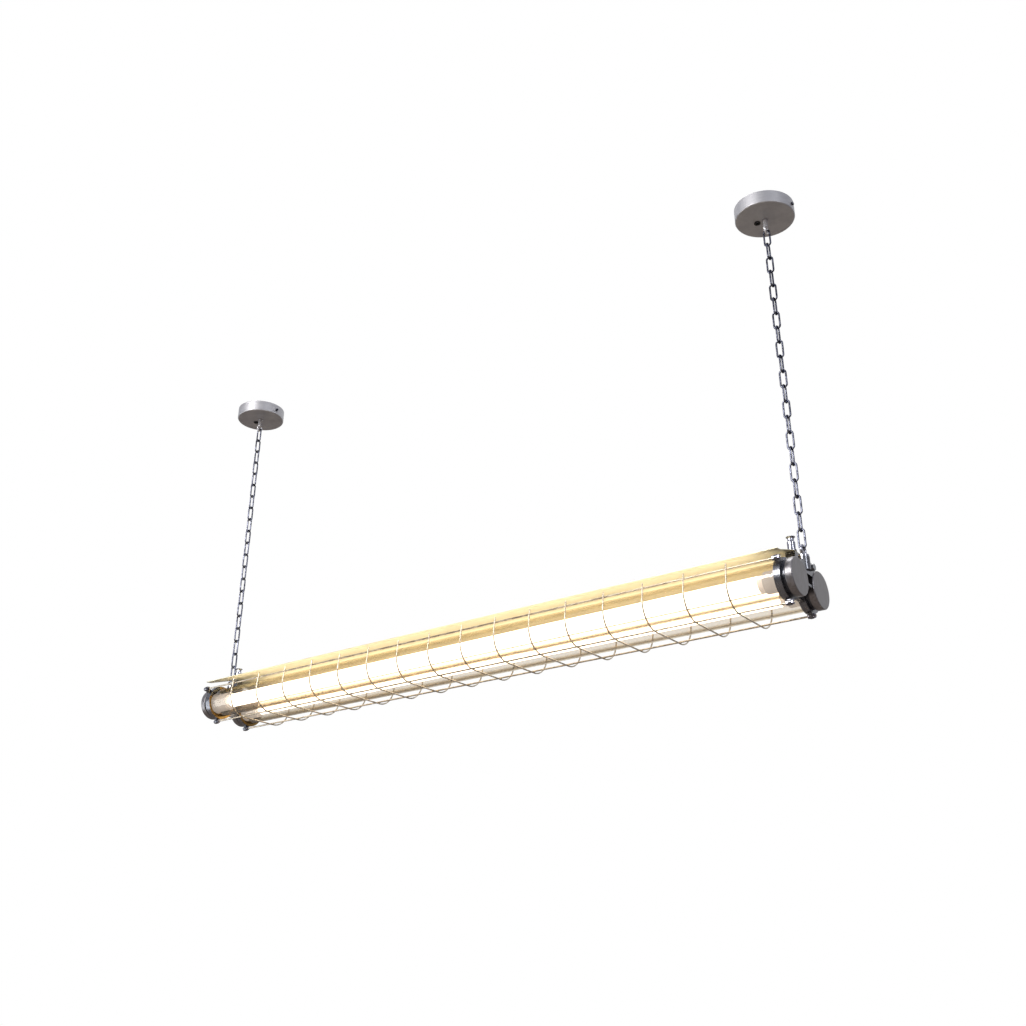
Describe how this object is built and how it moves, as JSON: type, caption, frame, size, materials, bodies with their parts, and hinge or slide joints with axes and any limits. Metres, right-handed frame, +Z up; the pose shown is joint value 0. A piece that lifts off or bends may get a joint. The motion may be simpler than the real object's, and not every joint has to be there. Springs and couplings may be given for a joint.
{
  "type": "linear pendant light",
  "caption": "Twin tube linear pendant light hung on two chains, with lamps in glass tubes between cast ends, a folded reflector above and a wire guard below.",
  "frame": {"origin": "On the ceiling, at the centre of the four fixing screw holes, midway between the two canopies.", "axes": "X runs along the light, Z points up out of the ceiling fixing, and Y completes the frame, with the rear tube at +Y."},
  "size_m": [1.4066, 0.162, 0.7509],
  "materials": {
    "zinc_plate": "satin zinc plate",
    "polished_steel": "polished",
    "dark_steel": "blackened, semi gloss",
    "rubber": "matt",
    "satin_nickel": "satin",
    "white_plastic": "matt",
    "chain_steel": "bright with dark hollows",
    "casting": "machined and lacquered grey",
    "reflector_sheet": "satin warm reflective lacquer",
    "clear_glass": "clear",
    "holder_plastic": "satin",
    "frosted_tube": "frosted, lit",
    "lamp_cap_metal": "satin",
    "light_board": "matt white",
    "lead_sleeve": "matt"
  },
  "bodies": {
    "ceiling": {"ceiling_plate_left": "zinc_plate", "ceiling_plate_right": "zinc_plate", "stem_left": "polished_steel", "stem_right": "polished_steel", "stem_nuts": "zinc_plate", "terminal_block": "white_plastic"},
    "canopy_left": {"canopy_left": "satin_nickel", "canopy_grommet_left": "rubber"},
    "canopy_right": {"canopy_right": "satin_nickel", "canopy_grommet_right": "rubber"},
    "top_links": {"chain_top_links": "chain_steel"},
    "chain_left": {"chain_left": "chain_steel"},
    "chain_right": {"chain_right": "chain_steel"},
    "bottom_links": {"chain_bottom_links": "chain_steel"},
    "canopy_screw_left_outer": {"canopy_screw_left_outer": "dark_steel"},
    "canopy_screw_left_inner": {"canopy_screw_left_inner": "dark_steel"},
    "canopy_screw_right_outer": {"canopy_screw_right_outer": "dark_steel"},
    "canopy_screw_right_inner": {"canopy_screw_right_inner": "dark_steel"},
    "lamp_front": {"lamp_tube_front": "frosted_tube", "lamp_caps_front": "lamp_cap_metal", "lamp_board_front": "light_board", "lamp_rotors_front": "holder_plastic"},
    "gasket_front_left": {"cap_gasket_front_left": "rubber"},
    "cap_front_left": {"screw_cap_front_left": "casting"},
    "gasket_front_right": {"cap_gasket_front_right": "rubber"},
    "cap_front_right": {"screw_cap_front_right": "casting"},
    "lamp_rear": {"lamp_tube_rear": "frosted_tube", "lamp_caps_rear": "lamp_cap_metal", "lamp_board_rear": "light_board", "lamp_rotors_rear": "holder_plastic"},
    "gasket_rear_left": {"cap_gasket_rear_left": "rubber"},
    "cap_rear_left": {"screw_cap_rear_left": "casting"},
    "gasket_rear_right": {"cap_gasket_rear_right": "rubber"},
    "cap_rear_right": {"screw_cap_rear_right": "casting"},
    "fixture": {"eye_bolt_left": "polished_steel", "eye_bolt_right": "polished_steel", "end_casting_left": "casting", "end_casting_right": "casting", "reflector": "reflector_sheet", "glass_front": "clear_glass", "glass_rear": "clear_glass", "glass_seals": "rubber", "lampholder_front_left": "holder_plastic", "lampholder_front_right": "holder_plastic", "lampholder_rear_left": "holder_plastic", "lampholder_rear_right": "holder_plastic", "guard_rods": "polished_steel", "guard_hoops": "polished_steel", "guard_nuts_inner": "polished_steel", "guard_nuts_outer": "dark_steel", "cable_gland_left": "polished_steel", "cable_gland_right": "polished_steel", "gland_nuts": "polished_steel", "gland_seals": "rubber", "leads_left": "lead_sleeve", "leads_right": "lead_sleeve", "earth_bolts": "polished_steel"}
  },
  "joints": [
    {"name": "canopy_left_slide", "type": "slide", "parent": "ceiling", "child": "canopy_left", "axis": [0, 0, -1], "range_m": [0, 0.012]},
    {"name": "canopy_screw_left_outer_turn", "type": "hinge", "parent": "canopy_left", "child": "canopy_screw_left_outer", "pos_m": [-0.6477, 0, -0.0136], "axis": [-1, 0, 0], "range_deg": [0, 180]},
    {"name": "canopy_screw_left_inner_turn", "type": "hinge", "parent": "canopy_left", "child": "canopy_screw_left_inner", "pos_m": [-0.6477, 0, -0.0136], "axis": [1, 0, 0], "range_deg": [0, 180]},
    {"name": "canopy_right_slide", "type": "slide", "parent": "ceiling", "child": "canopy_right", "axis": [0, 0, -1], "range_m": [0, 0.012]},
    {"name": "canopy_screw_right_outer_turn", "type": "hinge", "parent": "canopy_right", "child": "canopy_screw_right_outer", "pos_m": [0.6477, 0, -0.0136], "axis": [1, 0, 0], "range_deg": [0, 180]},
    {"name": "canopy_screw_right_inner_turn", "type": "hinge", "parent": "canopy_right", "child": "canopy_screw_right_inner", "pos_m": [0.6477, 0, -0.0136], "axis": [-1, 0, 0], "range_deg": [0, 180]},
    {"name": "side_swing", "type": "hinge", "parent": "ceiling", "child": "top_links", "pos_m": [0, 0, -0.0466], "axis": [1, 0, 0], "range_deg": [-20, 20]},
    {"name": "length_swing", "type": "hinge", "parent": "top_links", "child": "chain_left", "pos_m": [-0.6477, 0, -0.0753], "axis": [0, 1, 0], "range_deg": [-15, 15]},
    {"name": "length_swing_right", "type": "hinge", "parent": "top_links", "child": "chain_right", "pos_m": [0.6477, 0, -0.0753], "axis": [0, 1, 0], "range_deg": [-15, 15]},
    {"name": "level_swing", "type": "hinge", "parent": "chain_left", "child": "bottom_links", "pos_m": [-0.6477, 0, -0.6241], "axis": [0, 1, 0], "range_deg": [-15, 15]},
    {"name": "body_roll", "type": "hinge", "parent": "bottom_links", "child": "fixture", "pos_m": [0, 0, -0.6538], "axis": [1, 0, 0], "range_deg": [-15, 15]},
    {"name": "lamp_front_twist", "type": "hinge", "parent": "fixture", "child": "lamp_front", "pos_m": [0, -0.0395, -0.7088], "axis": [1, 0, 0], "range_deg": [0, 90]},
    {"name": "cap_front_left_travel", "type": "slide", "parent": "fixture", "child": "gasket_front_left", "axis": [-1, 0, 0], "range_m": [0, 0.0075]},
    {"name": "cap_front_left_turn", "type": "hinge", "parent": "gasket_front_left", "child": "cap_front_left", "pos_m": [-0.6422, -0.0395, -0.7088], "axis": [-1, 0, 0], "range_deg": [0, 1800]},
    {"name": "cap_front_right_travel", "type": "slide", "parent": "fixture", "child": "gasket_front_right", "axis": [1, 0, 0], "range_m": [0, 0.0075]},
    {"name": "cap_front_right_turn", "type": "hinge", "parent": "gasket_front_right", "child": "cap_front_right", "pos_m": [0.6422, -0.0395, -0.7088], "axis": [1, 0, 0], "range_deg": [0, 1800]},
    {"name": "lamp_rear_twist", "type": "hinge", "parent": "fixture", "child": "lamp_rear", "pos_m": [0, 0.0395, -0.7088], "axis": [1, 0, 0], "range_deg": [0, 90]},
    {"name": "cap_rear_left_travel", "type": "slide", "parent": "fixture", "child": "gasket_rear_left", "axis": [-1, 0, 0], "range_m": [0, 0.0075]},
    {"name": "cap_rear_left_turn", "type": "hinge", "parent": "gasket_rear_left", "child": "cap_rear_left", "pos_m": [-0.6422, 0.0395, -0.7088], "axis": [-1, 0, 0], "range_deg": [0, 1800]},
    {"name": "cap_rear_right_travel", "type": "slide", "parent": "fixture", "child": "gasket_rear_right", "axis": [1, 0, 0], "range_m": [0, 0.0075]},
    {"name": "cap_rear_right_turn", "type": "hinge", "parent": "gasket_rear_right", "child": "cap_rear_right", "pos_m": [0.6422, 0.0395, -0.7088], "axis": [1, 0, 0], "range_deg": [0, 1800]}
  ],
  "couplings": [
    {"joint": "length_swing_right", "follows": "length_swing", "ratio": 1},
    {"joint": "level_swing", "follows": "length_swing", "ratio": -1},
    {"joint": "cap_front_left_travel", "follows": "cap_front_left_turn", "m_per_rad": 0.00023873},
    {"joint": "cap_front_right_travel", "follows": "cap_front_right_turn", "m_per_rad": 0.00023873},
    {"joint": "cap_rear_left_travel", "follows": "cap_rear_left_turn", "m_per_rad": 0.00023873},
    {"joint": "cap_rear_right_travel", "follows": "cap_rear_right_turn", "m_per_rad": 0.00023873}
  ]
}
